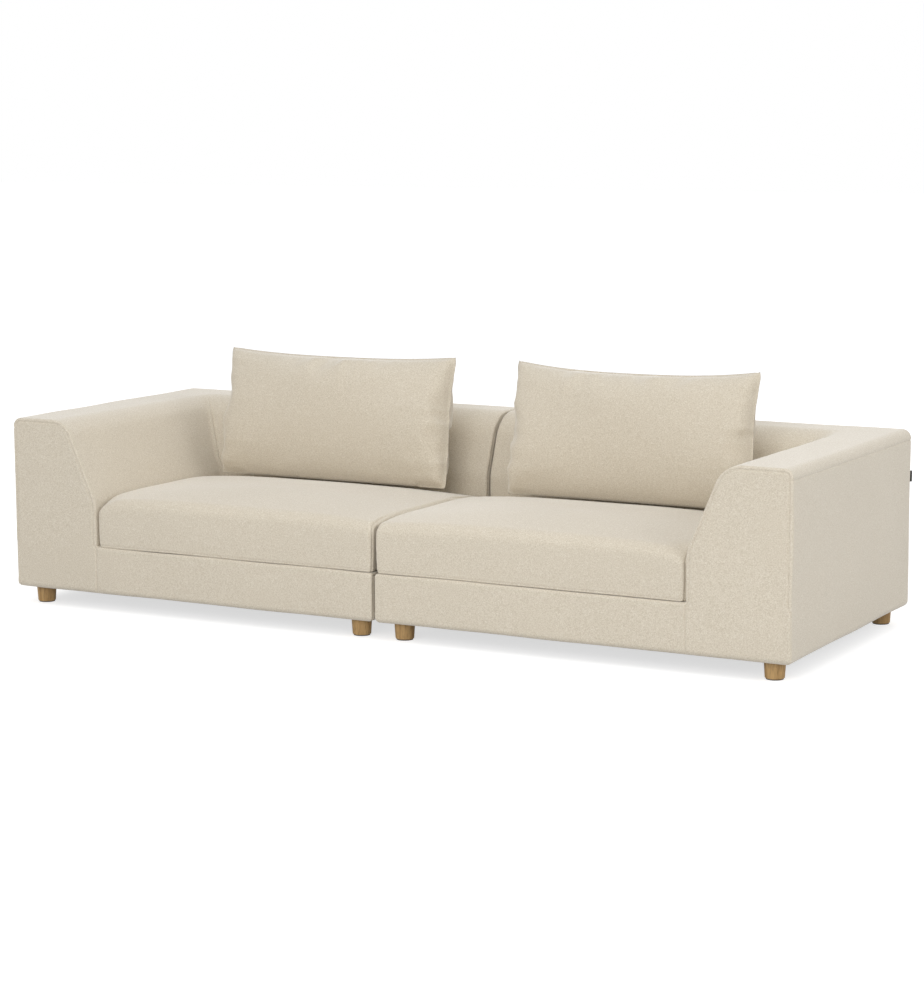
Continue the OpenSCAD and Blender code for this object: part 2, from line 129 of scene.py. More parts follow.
def meshPiece(name, bm, smooth=True):
    mesh = bpy.data.meshes.new(name)
    for face in bm.faces:
        face.smooth = smooth
    bm.to_mesh(mesh)
    bm.free()
    piece = bpy.data.objects.new(name, mesh)
    collection.objects.link(piece)
    return piece


def paint(piece, material):
    piece.data.materials.clear()
    piece.data.materials.append(material)


def readPoints(mesh):
    points = np.empty(len(mesh.vertices) * 3, dtype=np.float32)
    mesh.vertices.foreach_get("co", points)
    return points.reshape(-1, 3).astype(np.float64)


def writePoints(mesh, points):
    mesh.vertices.foreach_set("co", points.astype(np.float32).ravel())
    mesh.update()


def cutAt(bm, axis, places):
    normal = [0, 0, 0]
    normal[axis] = 1
    for place in places:
        point = [0, 0, 0]
        point[axis] = place
        whole = bm.verts[:] + bm.edges[:] + bm.faces[:]
        bmesh.ops.bisect_plane(bm, geom=whole, dist=1e-6, plane_co=point, plane_no=normal)


def spread(low, high, steps, pitch):
    # cut places between low and high: close together near both ends, then at an even pitch
    first, last = low + steps[-1], high - steps[-1]
    count = max(1, round((last - first) / pitch))
    middle = [first + (last - first) * i / count for i in range(1, count)]
    return [low + s for s in steps] + middle + [high - s for s in reversed(steps)]


def smoothStep(low, high, value):
    t = np.clip((value - low) / (high - low), 0, 1)
    return t * t * (3 - 2 * t)


def wobble(points, size, seed=0.0):
    # smooth noise between about -1 and 1, one value a point
    offset = Vector((seed, seed * 1.7, seed * 0.6))
    return np.array([noise.noise(Vector(p) / size + offset) for p in points])


def roundedEdge(a, b, radius):
    # distance to where two half spaces overlap, with a rounded edge between them
    outside = np.hypot(np.maximum(a + radius, 0), np.maximum(b + radius, 0))
    return np.minimum(np.maximum(a, b), -radius) + outside


def softBend(a, b, radius, turn):
    # the same for two faces that meet at a small angle, in radians
    blend = radius * math.tan(turn / 2) * math.sin(turn)
    return np.maximum(a, b) + np.maximum(blend - np.abs(a - b), 0) ** 2 / (4 * blend)


def filletedJoin(a, b, radius):
    # distance to two half spaces together, with a hollow fillet between them
    inside = np.hypot(np.maximum(radius - a, 0), np.maximum(radius - b, 0))
    return np.maximum(np.minimum(a, b), radius) - inside


def slopes(field, points, step=4e-4):
    result = np.empty_like(points)
    for axis in range(3):
        ahead, behind = points.copy(), points.copy()
        ahead[:, axis] += step
        behind[:, axis] -= step
        result[:, axis] = (field(ahead) - field(behind)) / (2 * step)
    return result


def drawOnto(field, points, rounds=5):
    # slides every point along the field's slope until it lies on the surface
    for _ in range(rounds):
        slope = slopes(field, points)
        length2 = np.maximum((slope ** 2).sum(1), 0.05)
        points = points - (field(points) / length2)[:, None] * slope
    slope = slopes(field, points)
    return points, slope / np.maximum(np.linalg.norm(slope, axis=1), 1e-6)[:, None]


# seams: a sewn line is a narrow groove with the cover swelling on both sides of it

seam = {
    "inset": 0.011,  # distance from a panel's edge
    "depth": 0.0028,
    "halfWidth": 0.0024,
    "swell": 0.0007,
    "swellAt": 0.0075,
    "pucker": 0.0008,
    "puckerLength": 0.017,
    "puckerReach": 0.016,
    "fade": (0.003, 0.007),  # how far round an edge a seam fades out
    "innerFade": (0.004, 0.010),
    "swellLength": 0.22,  # size of the uneven swells of the padding
}


def sewnLine(distance):
    groove = seam["depth"] * np.exp(-(distance / seam["halfWidth"]) ** 2)
    beside = (np.abs(distance) - seam["swellAt"]) / (0.5 * seam["swellAt"])
    return groove - seam["swell"] * np.exp(-beside ** 2)


def nearSeam(distance):
    return np.exp(-(distance / seam["puckerReach"]) ** 2)


# materials

def newMaterial(name):
    material = bpy.data.materials.new(name)
    material.use_nodes = True
    tree = material.node_tree
    return material, tree, tree.nodes["Principled BSDF"]


def feed(tree, sockets, inputs):
    # gives each socket a plain value or the output of another node
    for key, value in inputs.items():
        if isinstance(value, bpy.types.NodeSocket):
            tree.links.new(value, sockets[key])
        else:
            sockets[key].default_value = value


def addNode(tree, kind, inputs=None, **values):
    node = tree.nodes.new(kind)
    for key, value in values.items():
        setattr(node, key, value)
    feed(tree, node.inputs, inputs or {})
    return node


def newGroup(name, inputs):
    # inputs are {socket name: (kind, default)}, beside the place that every group takes
    group = bpy.data.node_groups.new(name, "ShaderNodeTree")
    kinds = {"value": "NodeSocketFloat", "colour": "NodeSocketColor", "vector": "NodeSocketVector"}
    for socketName, (kind, default) in {"Place": ("vector", None), **inputs}.items():
        socket = group.interface.new_socket(name=socketName, in_out="INPUT", socket_type=kinds[kind])
        if default is not None:
            socket.default_value = default
    for socketName, kind in (("Colour", "colour"), ("Height", "value"), ("Roughness", "value")):
        group.interface.new_socket(name=socketName, in_out="OUTPUT", socket_type=kinds[kind])
    return group, group.nodes.new("NodeGroupInput").outputs


def scaled(tree, vector, scale):
    return addNode(tree, "ShaderNodeMapping", {"Vector": vector, "Scale": scale}).outputs["Vector"]


def noiseAt(tree, vector, scale, detail=2.0, roughness=0.5):
    inputs = {"Vector": vector, "Scale": scale, "Detail": detail, "Roughness": roughness}
    return addNode(tree, "ShaderNodeTexNoise", inputs).outputs["Fac"]


def mathOf(tree, operation, first, second=0.5):
    return addNode(tree, "ShaderNodeMath", {0: first, 1: second}, operation=operation).outputs["Value"]


def rangeOf(tree, value, fromLow, fromHigh, toLow=0.0, toHigh=1.0):
    inputs = {"Value": value, "From Min": fromLow, "From Max": fromHigh, "To Min": toLow, "To Max": toHigh}
    return addNode(tree, "ShaderNodeMapRange", inputs).outputs["Result"]


def mixOfColours(tree, factor, first, second):
    node = addNode(tree, "ShaderNodeMix", data_type="RGBA")
    factors = [s for s in node.inputs if s.enabled and s.type == "VALUE"]
    colours = [s for s in node.inputs if s.enabled and s.type == "RGBA"]
    feed(tree, factors[:1] + colours, {0: factor, 1: first, 2: second})
    return [s for s in node.outputs if s.enabled][0]


def floorPaper():
    material, tree, shader = newMaterial("palePaper")
    eye = addNode(tree, "ShaderNodeLightPath").outputs["Is Camera Ray"]
    feed(tree, shader.inputs, {
        "Base Color": (*studio["floor"], 1),
        "Roughness": 0.95,
        "Specular IOR Level": 0.0,
        "Emission Color": (1, 1, 1, 1),
        "Emission Strength": rangeOf(tree, eye, 0, 1, studio["floorGlow"], studio["floorSeen"]),
    })
    return material


def weaveGroup():
    # heathered yarn: fine flecks, slubs running both ways and a plain weave of threads
    group, entry = newGroup("heatherWeave", {
        "Yarn": ("colour", (0.5, 0.5, 0.5, 1)),
        "Dark Yarn": ("colour", (0.4, 0.4, 0.4, 1)),
        "Light Yarn": ("colour", (0.6, 0.6, 0.6, 1)),
        "Threads": ("value", 700.0),
    })
    place = entry["Place"]
    fleck = noiseAt(group, place, 330, detail=3, roughness=0.65)
    across = noiseAt(group, scaled(group, place, (0.3, 0.3, 1)), 620)
    upward = noiseAt(group, scaled(group, place, (1, 1, 0.3)), 620)
    slub = mathOf(group, "MAXIMUM", across, upward)
    cloud = noiseAt(group, place, 2.3)
    split = addNode(group, "ShaderNodeSeparateXYZ", {"Vector": place})
    waves = []
    for axis in ("X", "Y", "Z"):
        turn = mathOf(group, "MULTIPLY", split.outputs[axis], entry["Threads"])
        waves.append(mathOf(group, "SINE", turn))
    warp = mathOf(group, "MULTIPLY", mathOf(group, "ADD", waves[0], waves[1]), waves[2])
    weave = rangeOf(group, mathOf(group, "ADD", warp, mathOf(group, "MULTIPLY", waves[0], waves[1])), -2, 2)
    darker = mixOfColours(group, rangeOf(group, fleck, 0.36, 0.60, 1, 0), entry["Yarn"], entry["Dark Yarn"])
    lighter = mixOfColours(group, rangeOf(group, slub, 0.56, 0.74), darker, entry["Light Yarn"])
    threads = mathOf(group, "MULTIPLY", weave, 0.5)
    tone = rangeOf(group, cloud, 0.3, 0.7, 0.985, 1.015)
    clouded = addNode(group, "ShaderNodeHueSaturation", {"Color": lighter, "Value": tone})
    addNode(group, "NodeGroupOutput", {
        "Colour": clouded.outputs["Color"],
        "Height": mathOf(group, "ADD", threads, mathOf(group, "MULTIPLY", slub, 0.5)),
        "Roughness": rangeOf(group, fleck, 0.3, 0.7, 0.86, 0.98),
    })
    return group


def grainGroup():
    # wood: growth lines that drift along the board, with short dark pores
    group, entry = newGroup("woodGrain", {
        "Stretch": ("vector", (1, 1, 0.08)),
        "Early Wood": ("colour", (0.6, 0.4, 0.2, 1)),
        "Late Wood": ("colour", (0.4, 0.25, 0.12, 1)),
        "Lines": ("value", 60.0),
    })
    axes = {0: entry["Place"], 1: entry["Stretch"]}
    along = addNode(group, "ShaderNodeVectorMath", axes, operation="MULTIPLY").outputs["Vector"]
    lines = mathOf(group, "MULTIPLY", noiseAt(group, along, 9), entry["Lines"])
    rings = rangeOf(group, mathOf(group, "SINE", lines), -1, 1)
    pores = noiseAt(group, along, 420, detail=3, roughness=0.6)
    streaks = noiseAt(group, along, 90, detail=3)
    mask = mathOf(group, "MULTIPLY", rings, rangeOf(group, streaks, 0.3, 0.7, 0.35, 1.0))
    wood = mixOfColours(group, mask, entry["Early Wood"], entry["Late Wood"])
    tone = rangeOf(group, pores, 0.36, 0.5, 0.72, 1.03)
    dark = addNode(group, "ShaderNodeHueSaturation", {"Color": wood, "Value": tone})
    addNode(group, "NodeGroupOutput", {
        "Colour": dark.outputs["Color"],
        "Height": mathOf(group, "ADD", mathOf(group, "MULTIPLY", mask, 0.4), pores),
        "Roughness": rangeOf(group, mask, 0, 1, 0.42, 0.6),
    })
    return group


def grittyGroup():
    # cells, fibres or scuffs: one broad and one fine noise over a base colour
    group, entry = newGroup("grittySurface", {
        "Base": ("colour", (0.5, 0.5, 0.5, 1)),
        "Grit": ("colour", (0.4, 0.4, 0.4, 1)),
        "Fine": ("value", 500.0),
        "Broad": ("value", 20.0),
        "Smooth": ("value", 0.3),
        "Rough": ("value", 0.9),
    })
    fine = noiseAt(group, entry["Place"], entry["Fine"], detail=3)
    broad = noiseAt(group, entry["Place"], entry["Broad"], detail=4)
    both = mathOf(group, "ADD", mathOf(group, "MULTIPLY", fine, 0.65), mathOf(group, "MULTIPLY", broad, 0.35))
    addNode(group, "NodeGroupOutput", {
        "Colour": mixOfColours(group, rangeOf(group, both, 0.38, 0.62), entry["Base"], entry["Grit"]),
        "Height": fine,
        "Roughness": rangeOf(group, both, 0, 1, entry["Smooth"], entry["Rough"]),
    })
    return group


def groupMaterial(name, group, inputs, bump, bumpDistance, even):
    # the group gives colour, roughness and relief; what is even over the surface goes on the shader
    material, tree, shader = newMaterial(name)
    place = addNode(tree, "ShaderNodeTexCoord").outputs["Object"]
    surface = addNode(tree, "ShaderNodeGroup", {"Place": place, **inputs}, node_tree=group).outputs
    relief = {"Strength": bump, "Distance": bumpDistance, "Height": surface["Height"]}
    feed(tree, shader.inputs, {
        "Base Color": surface["Colour"],
        "Roughness": surface["Roughness"],
        "Normal": addNode(tree, "ShaderNodeBump", relief).outputs["Normal"],
        **even,
    })
    return material


def wovenMaterial(name, group, yarn, darkYarn, lightYarn, threads=2600.0, bump=0.35, sheen=0.5):
    inputs = {"Yarn": (*yarn, 1), "Dark Yarn": (*darkYarn, 1), "Light Yarn": (*lightYarn, 1)}
    inputs["Threads"] = threads
    even = {"Specular IOR Level": 0.2, "Sheen Weight": sheen, "Sheen Roughness": 0.45}
    return groupMaterial(name, group, inputs, bump, 0.0012, even)


def woodMaterial(name, group, early, late, stretch, lines, bump):
    inputs = {"Stretch": stretch, "Early Wood": (*early, 1), "Late Wood": (*late, 1), "Lines": lines}
    return groupMaterial(name, group, inputs, bump, 0.0006, {"Specular IOR Level": 0.35})


def grittyMaterial(name, group, base, grit, fine, broad, smooth, rough, bump=0.3, metallic=0.0):
    inputs = {"Base": (*base, 1), "Grit": (*grit, 1), "Fine": fine, "Broad": broad}
    inputs.update({"Smooth": smooth, "Rough": rough})
    return groupMaterial(name, group, inputs, bump, 0.0008, {"Metallic": metallic})


linenForm = {
    "yarn": (0.667, 0.603, 0.496),
    "darkYarn": (0.543, 0.476, 0.372),
    "lightYarn": (0.777, 0.727, 0.629),
}


def makeFinishes():
    weave, grain, gritty = weaveGroup(), grainGroup(), grittyGroup()
    f = linenForm
    return {
        "linen": wovenMaterial("heatheredLinen", weave, f["yarn"], f["darkYarn"], f["lightYarn"]),
        "cushionLinen": wovenMaterial("cushionLinen", weave, f["yarn"], f["darkYarn"], f["lightYarn"]),
        "zipTape": wovenMaterial("zipTapeWeave", weave, (0.50, 0.44, 0.35), (0.36, 0.31, 0.24),
                                 (0.62, 0.56, 0.46), threads=5200.0, bump=0.5, sheen=0.1),
        "tabWeave": wovenMaterial("tabWeave", weave, (0.035, 0.034, 0.033), (0.012, 0.012, 0.012),
                                  (0.09, 0.088, 0.085), threads=7000.0, bump=0.5, sheen=0.1),
        "oak": woodMaterial("oiledOak", grain, (0.500, 0.318, 0.136), (0.345, 0.202, 0.078),
                            (1, 1, 0.07), 70.0, 0.35),
        "pine": woodMaterial("sawnPine", grain, (0.660, 0.470, 0.260), (0.520, 0.330, 0.150),
                             (0.08, 0.3, 1), 46.0, 0.5),
        "foam": grittyMaterial("cushionFoam", gritty, (0.84, 0.80, 0.66), (0.74, 0.69, 0.53),
                               900.0, 8.0, 0.9, 1.0, 0.6),
        "felt": grittyMaterial("pressedFelt", gritty, (0.17, 0.165, 0.16), (0.10, 0.098, 0.095),
                               700.0, 60.0, 0.9, 1.0, 0.8),
        "batting": grittyMaterial("deckFelt", gritty, (0.42, 0.41, 0.39), (0.30, 0.29, 0.28),
                                  420.0, 30.0, 0.9, 1.0, 0.8),
        "nonWoven": grittyMaterial("blackNonWoven", gritty, (0.022, 0.022, 0.023), (0.042, 0.042, 0.044),
                                   1100.0, 14.0, 0.75, 0.95, 0.4),
        "springSteel": grittyMaterial("springSteel", gritty, (0.30, 0.30, 0.31), (0.22, 0.22, 0.23),
                                      800.0, 40.0, 0.28, 0.5, 0.1, 1.0),
        "zincSteel": grittyMaterial("zincPlate", gritty, (0.62, 0.62, 0.60), (0.50, 0.50, 0.47),
                                    600.0, 55.0, 0.25, 0.55, 0.12, 1.0),
    }


# upholstered body: arm, back and base under one sewn cover

bodyForm = {
    "armFoot": 0.326,
    "armTop": 0.214,
    "armBend": 0.360,  # height where the arm starts to lean
    "backFoot": 0.277,
    "backTop": 0.205,
    "backBend": 0.420,
    "deck": 0.210,
    "bendRadius": 0.11,
    "cornerRadius": 0.035,  # hollow corner between arm and back
    "armInnerTop": 0.052,
    "backFrontTop": 0.075,
    "outerTop": 0.028,
    "rearTop": 0.026,
    "innerSide": 0.012,
    "frontEdge": 0.009,
    "bottomEdge": 0.018,
    "sideSeam": 0.034,  # below the crest
    "sideSeamShows": 0.55,
    "deckFillet": 0.004,
    "deckFade": (0.01, 0.012),  # below and above the deck
    "topBlend": 0.05,  # over which the arm's top rounding turns into the back's
    "hollowAt": 0.01,  # the seam in the hollow between arm and back
    "hollowReach": 0.02,
    "seamCut": 0.0035,
    "underside": 0.004,
    "nearSteps": (0.004, 0.008, 0.0125, 0.018, 0.026, 0.038),
    "pitch": 0.026,
    "foldUnder": 0.026,
    "foldRise": 0.008,
    "swell": 0.0022,
    "seeds": {"left": 3.0, "right": 11.0},
}


def bodySize():
    low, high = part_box("left_body_cover")
    return high.x - low.x, low.y, high.y, low.z, high.z


def wallWidth(z, foot, top, bend, crest):
    return foot + (top - foot) * np.clip((z - bend) / (crest - bend), 0, 1)


def leaningFace(across, z, foot, top, bend, crest, radius):
    run, rise = foot - top, crest - bend
    length = math.hypot(run, rise)
    upright = across - foot
    leaning = ((across - foot) * rise + (z - bend) * run) / length
    return softBend(upright, leaning, radius, math.atan2(run, rise))


def bodyFaces(points):
    _, _, rear, _, crest = bodySize()
    f = bodyForm
    x, y, z = points.T
    arm = leaningFace(x, z, f["armFoot"], f["armTop"], f["armBend"], crest, f["bendRadius"])
    back = leaningFace(rear - y, z, f["backFoot"], f["backTop"], f["backBend"], crest, f["bendRadius"])
    return arm, back


def bodySeams(points):
    # signed distances to the sewn lines, each with how much of it shows at a point
    width, front, rear, _, crest = bodySize()
    f = bodyForm
    x, y, z = points.T
    arm, back = bodyFaces(points)
    near, far = seam["fade"]
    atFront = 1 - smoothStep(front + near, front + far, y)
    atRear = smoothStep(rear - far, rear - near, y)
    atOuter = 1 - smoothStep(near, far, x)
    near, far = seam["innerFade"]
    atInner = smoothStep(width - far, width - near, x)
    armPanel = roundedEdge(roundedEdge(arm, z - crest, f["armInnerTop"]), -x, f["outerTop"])
    low = 1 - smoothStep(f["deck"] - f["deckFade"][0], f["deck"] + f["deckFade"][1], z)
    endPanel = roundedEdge(filletedJoin(back, z - f["deck"], f["deckFillet"]), z - crest, f["backFrontTop"])
    endPanel = roundedEdge(roundedEdge(endPanel, y - rear, f["rearTop"]), front - y, f["frontEdge"])
    hollow = np.exp(-((arm + back) / 2 - f["hollowAt"]) ** 2 / f["hollowReach"] ** 2)
    hollow *= smoothStep(f["deck"], f["deck"] + f["hollowReach"], z)
    return [
        (armPanel + seam["inset"] * (1 - low), atFront),
        (endPanel + seam["inset"], atInner),
        (z - crest + f["sideSeam"], f["sideSeamShows"] * np.maximum(atOuter, atRear)),
        (x - seam["inset"], atRear),
        (x - width + seam["inset"] + f["innerSide"], atRear),
        ((arm - back) / 1.4, hollow),
    ]


def bodyField(points):
    width, front, rear, bottom, crest = bodySize()
    f = bodyForm
    x, y, z = points.T
    arm, back = bodyFaces(points)
    nearArm = smoothStep(-f["topBlend"], f["topBlend"], back - arm)
    topRadius = f["backFrontTop"] + (f["armInnerTop"] - f["backFrontTop"]) * nearArm
    solid = filletedJoin(filletedJoin(arm, back, f["cornerRadius"]), z - f["deck"], f["deckFillet"])
    solid = roundedEdge(solid, z - crest, topRadius)
    solid = roundedEdge(solid, -x, f["outerTop"])
    solid = roundedEdge(solid, y - rear, f["rearTop"])
    solid = roundedEdge(solid, x - width, f["innerSide"])
    solid = roundedEdge(solid, front - y, f["frontEdge"])
    return roundedEdge(solid, bottom - z, f["bottomEdge"])


def bodyLattice():
    width, front, rear, bottom, crest = bodySize()
    f = bodyForm
    backFace = rear - f["backFoot"]
    bm = bmesh.new()
    bmesh.ops.create_cube(bm, size=1)
    size = Vector((width, rear - front, f["deck"] - bottom))
    bmesh.ops.scale(bm, vec=size, verts=bm.verts)
    bmesh.ops.translate(bm, vec=(width / 2, (front + rear) / 2, bottom + size.z / 2), verts=bm.verts)
    steps, pitch = f["nearSteps"], f["pitch"]
    acrossCuts = spread(0, f["armFoot"], steps, pitch) + [f["armFoot"]]
    cutAt(bm, 0, acrossCuts + spread(f["armFoot"], width, steps, pitch))
    depthCuts = spread(front, backFace, steps, pitch) + [backFace]
    cutAt(bm, 1, depthCuts + spread(backFace, rear, steps, pitch))
    cutAt(bm, 2, spread(bottom, f["deck"], steps, pitch))
    raised = []
    for face in bm.faces:
        centre = face.calc_center_median()
        onWall = centre.x < f["armFoot"] or centre.y > backFace
        if face.normal.z > 0.9 and onWall:
            raised.append(face)
    grown = bmesh.ops.extrude_face_region(bm, geom=raised)["geom"]
    bmesh.ops.delete(bm, geom=raised, context="FACES")
    tops = [v for v in grown if isinstance(v, bmesh.types.BMVert)]
    bmesh.ops.translate(bm, vec=(0, 0, crest - f["deck"]), verts=tops)
    seamCuts = [crest - f["sideSeam"] + offset for offset in (-f["seamCut"], 0, f["seamCut"])]
    cutAt(bm, 2, spread(f["deck"], crest, steps, pitch) + seamCuts)
    bmesh.ops.subdivide_edges(bm, edges=bm.edges[:], cuts=1, use_grid_fill=True)
    bmesh.ops.recalc_face_normals(bm, faces=bm.faces)
    return meshPiece("bodyLattice", bm)


def leanLattice(points):
    # slants the upright walls of the lattice
    width, front, rear, _, crest = bodySize()
    f = bodyForm
    x, y, z = points.T
    arm = wallWidth(z, f["armFoot"], f["armTop"], f["armBend"], crest)
    inArm = x / f["armFoot"] * arm
    beyond = arm + (x - f["armFoot"]) * (width - arm) / (width - f["armFoot"])
    v = rear - y
    back = wallWidth(z, f["backFoot"], f["backTop"], f["backBend"], crest)
    inBack = v / f["backFoot"] * back
    ahead = back + (v - f["backFoot"]) * (rear - front - back) / (rear - front - f["backFoot"])
    upper = z > f["deck"] + 1e-4
    newX = np.where(upper, np.where(x < f["armFoot"], inArm, beyond), x)
    newY = np.where(upper, rear - np.where(v < f["backFoot"], inBack, ahead), y)
    return np.stack([newX, newY, z], axis=1)


def roundCorner(points, first, second, centre, toward, radius):
    # maps square rings round a corner onto arcs, so that edge loops follow the rounding
    a = (points[:, first] - centre[0]) * toward[0] / radius
    b = (points[:, second] - centre[1]) * toward[1] / radius
    inside = (a > 0) & (b > 0)
    ring = np.maximum(a, b)
    length = np.maximum(np.hypot(a, b), 1e-9)
    points[inside, first] = (centre[0] + toward[0] * radius * a * ring / length)[inside]
    points[inside, second] = (centre[1] + toward[1] * radius * b * ring / length)[inside]


def sewCover(points, normal, seams, swell, seed):
    # sinks the sewn lines, puckers the cloth beside them and lets the padding swell unevenly
    sink, pucker = np.zeros(len(points)), np.zeros(len(points))
    for distance, shows in seams:
        sink += sewnLine(distance) * shows
        pucker = np.maximum(pucker, nearSeam(distance) * shows)
    fine = wobble(points, seam["puckerLength"], seed)
    broad = wobble(points, seam["swellLength"], seed + 5)
    lift = swell * broad * (1 - pucker) + seam["pucker"] * pucker * fine - sink
    return points + normal * lift[:, None]


def toModule(side, points, low, high):
    # moves points from the module's own frame, x from its outer side, to the sofa's
    if side == "left":
        points[:, 0] += low.x
    else:
        points[:, 0] = high.x - points[:, 0]
    return points


def shapedCopy(name, side, lattice, points, node):
    piece = bpy.data.objects.new(name, lattice.data.copy())
    collection.objects.link(piece)
    low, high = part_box(node)
    if side == "right":
        piece.data.flip_normals()
    writePoints(piece.data, toModule(side, points, low, high))
    return piece


def makeBody(side, lattice):
    width, front, rear, bottom, crest = bodySize()
    f = bodyForm
    points = leanLattice(readPoints(lattice.data))
    r = f["outerTop"]
    roundCorner(points, 0, 2, (r, crest - r), (-1, 1), r)
    r = f["rearTop"]
    roundCorner(points, 1, 2, (rear - r, crest - r), (1, 1), r)
    points, normal = drawOnto(bodyField, points)
    points = sewCover(points, normal, bodySeams(points), f["swell"], f["seeds"][side])
    margin = f["foldUnder"]
    low = points[:, 2] < bottom + f["underside"]
    inner = (points[:, 0] > margin) & (points[:, 0] < width - margin)
    inner &= (points[:, 1] > front + margin) & (points[:, 1] < rear - margin)
    points[low, 2] = np.maximum(points[low, 2], bottom)
    points[low & inner, 2] = bottom + f["foldRise"]
    return shapedCopy(side + "Body", side, lattice, points, side + "_body_cover")


def makeBodies():
    lattice = bodyLattice()
    for side in sides:
        body = makeBody(side, lattice)
        paint(body, finishes["linen"])
        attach(body, side + "_module")
        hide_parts(*[f"{side}_{n}" for n in ("body_cover", "arm_foam", "back_foam", "base_foam")])
    print("bodies made", len(lattice.data.polygons), "faces each")
    bpy.data.objects.remove(lattice)


# seat cushions: a foam block under a crowned cover whose top runs down over the front

seatForm = {
    "frontEdge": 0.374,  # height of the top where the front rounding would meet it
    "rearEdge": 0.350,
    "sideEdge": 0.374,
    "peak": 0.4065,
    "crownSlope": 0.99,  # turns the height over the crown into a distance from it
    "frontRadius": 0.034,
    "innerRadius": 0.017,
    "armRadius": 0.022,
    "rearRadius": 0.020,
    "cornerRadius": 0.014,
    "bottomRadius": 0.007,
    "bulge": 0.004,  # the walls swell between the edges
    "innerBulge": 0.7,
    "armBulge": 0.5,
    "nearSteps": (0.004, 0.008, 0.0125, 0.018, 0.026, 0.038),
    "pitch": 0.022,
    "dent": 0.020,  # soft dent at the arm-side top corner
    "dentReach": 0.043,
    "dentAt": 0.02,  # behind the front
    "dentRise": (0.08, 0.16),
    "sideFade": (0.008, 0.016),  # how far round the edges the seams fade out
    "rearFade": (0.006, 0.012),
    "frontFade": (0.004, 0.012),
    "seamDrop": 0.010,
    "lowSeamShows": 0.5,
    "zipHalf": 0.0108,
    "zipDepth": 0.0046,
    "zipEnd": 0.010,  # length of the recess past each end of the zip
    "zipEdge": 0.0008,
    "zipFade": 0.0006,
    "zipSpare": 0.011,
    "zipReach": 0.008,
    "swell": 0.0016,
    "seeds": {"left": 21.0, "right": 34.0},
}


def seatSize():
    moduleLow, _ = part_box("left_body_cover")
    low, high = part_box("left_seat_cover")
    return low.x - moduleLow.x, high.x - moduleLow.x, low.y, high.y, low.z


def seatTop(x, y):
    lowX, highX, lowY, highY, _ = seatSize()
    f = seatForm
    u, v = (x - lowX) / (highX - lowX), (y - lowY) / (highY - lowY)
    arch = lambda t: 4 * np.clip(t, -0.2, 1.2) * (1 - np.clip(t, -0.2, 1.2))
    straight = f["frontEdge"] + (f["rearEdge"] - f["frontEdge"]) * v
    middle = (f["frontEdge"] + f["rearEdge"]) / 2
    deep = straight + (f["peak"] - middle) * arch(v)
    wide = f["sideEdge"] + (f["peak"] - f["sideEdge"]) * arch(u)
    return f["peak"] - np.hypot(f["peak"] - deep, f["peak"] - wide)


def seatZip():
    low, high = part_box("left_seat_zip")
    moduleLow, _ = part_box("left_body_cover")
    return low.x - moduleLow.x, high.x - moduleLow.x, (low.z + high.z) / 2


def seatField(points):
    lowX, highX, lowY, highY, lowZ = seatSize()
    f = seatForm
    x, y, z = points.T
    top = (z - seatTop(x, y)) * f["crownSlope"]
    rise = np.clip((z - lowZ) / (f["peak"] - lowZ), 0, 1)
    along = np.clip((x - lowX) / (highX - lowX), 0, 1)
    bow = f["bulge"] * 4 * rise * (1 - rise)
    pull = bow - f["bulge"]
    solid = roundedEdge(top, lowY - y - pull * (4 * along * (1 - along)) ** 0.5, f["frontRadius"])
    solid = roundedEdge(solid, x - highX - pull * f["innerBulge"], f["innerRadius"])
    solid = roundedEdge(solid, lowX - x - pull * f["armBulge"], f["armRadius"])
    solid = roundedEdge(solid, y - highY, f["rearRadius"])
    return roundedEdge(solid, lowZ - z, f["bottomRadius"])


def seatSeams(points):
    lowX, highX, lowY, highY, lowZ = seatSize()
    f = seatForm
    x, y, z = points.T
    near, far = f["sideFade"]
    atInner = smoothStep(highX - far, highX - near, x)
    atArm = 1 - smoothStep(lowX + near, lowX + far, x)
    near, far = f["rearFade"]
    atRear = smoothStep(highY - far, highY - near, y)
    near, far = f["frontFade"]
    atFront = 1 - smoothStep(lowY + near, lowY + far, y)
    crown = seatTop(np.full_like(x, (lowX + highX) / 2), y)
    profile = roundedEdge(z - crown + f["seamDrop"], lowY - y, f["frontRadius"])
    profile = roundedEdge(profile, y - highY, f["rearRadius"])
    return [
        (profile + seam["inset"], np.maximum(atInner, atArm)),
        (z - lowZ - f["bottomRadius"], f["lowSeamShows"] * atFront),
        (x - lowX - seam["inset"] - f["armRadius"], atRear),
        (x - highX + seam["inset"] + f["innerRadius"], atRear),
    ]


def seatLattice():
    lowX, highX, lowY, highY, lowZ = seatSize()
    f = seatForm
    zipLow, zipHigh, zipZ = seatZip()
    topZ = f["frontEdge"]
    bm = bmesh.new()
    bmesh.ops.create_cube(bm, size=1)
    bmesh.ops.scale(bm, vec=(highX - lowX, highY - lowY, topZ - lowZ), verts=bm.verts)
    middle = ((lowX + highX) / 2, (lowY + highY) / 2, (lowZ + topZ) / 2)
    bmesh.ops.translate(bm, vec=middle, verts=bm.verts)
    zipEnds = [zipLow - f["zipEnd"], zipHigh + f["zipEnd"]]
    cutAt(bm, 0, spread(lowX, highX, f["nearSteps"], f["pitch"]) + zipEnds)
    cutAt(bm, 1, spread(lowY, highY, f["nearSteps"], f["pitch"]))
    edge = f["zipEdge"]
    edges = [zipZ + toward * (f["zipHalf"] + past) for toward in (-1, 1) for past in (-edge, edge)]
    cutAt(bm, 2, spread(lowZ, topZ, f["nearSteps"], f["pitch"]) + edges)
    bmesh.ops.subdivide_edges(bm, edges=bm.edges[:], cuts=1, use_grid_fill=True)
    return meshPiece("seatLattice", bm)


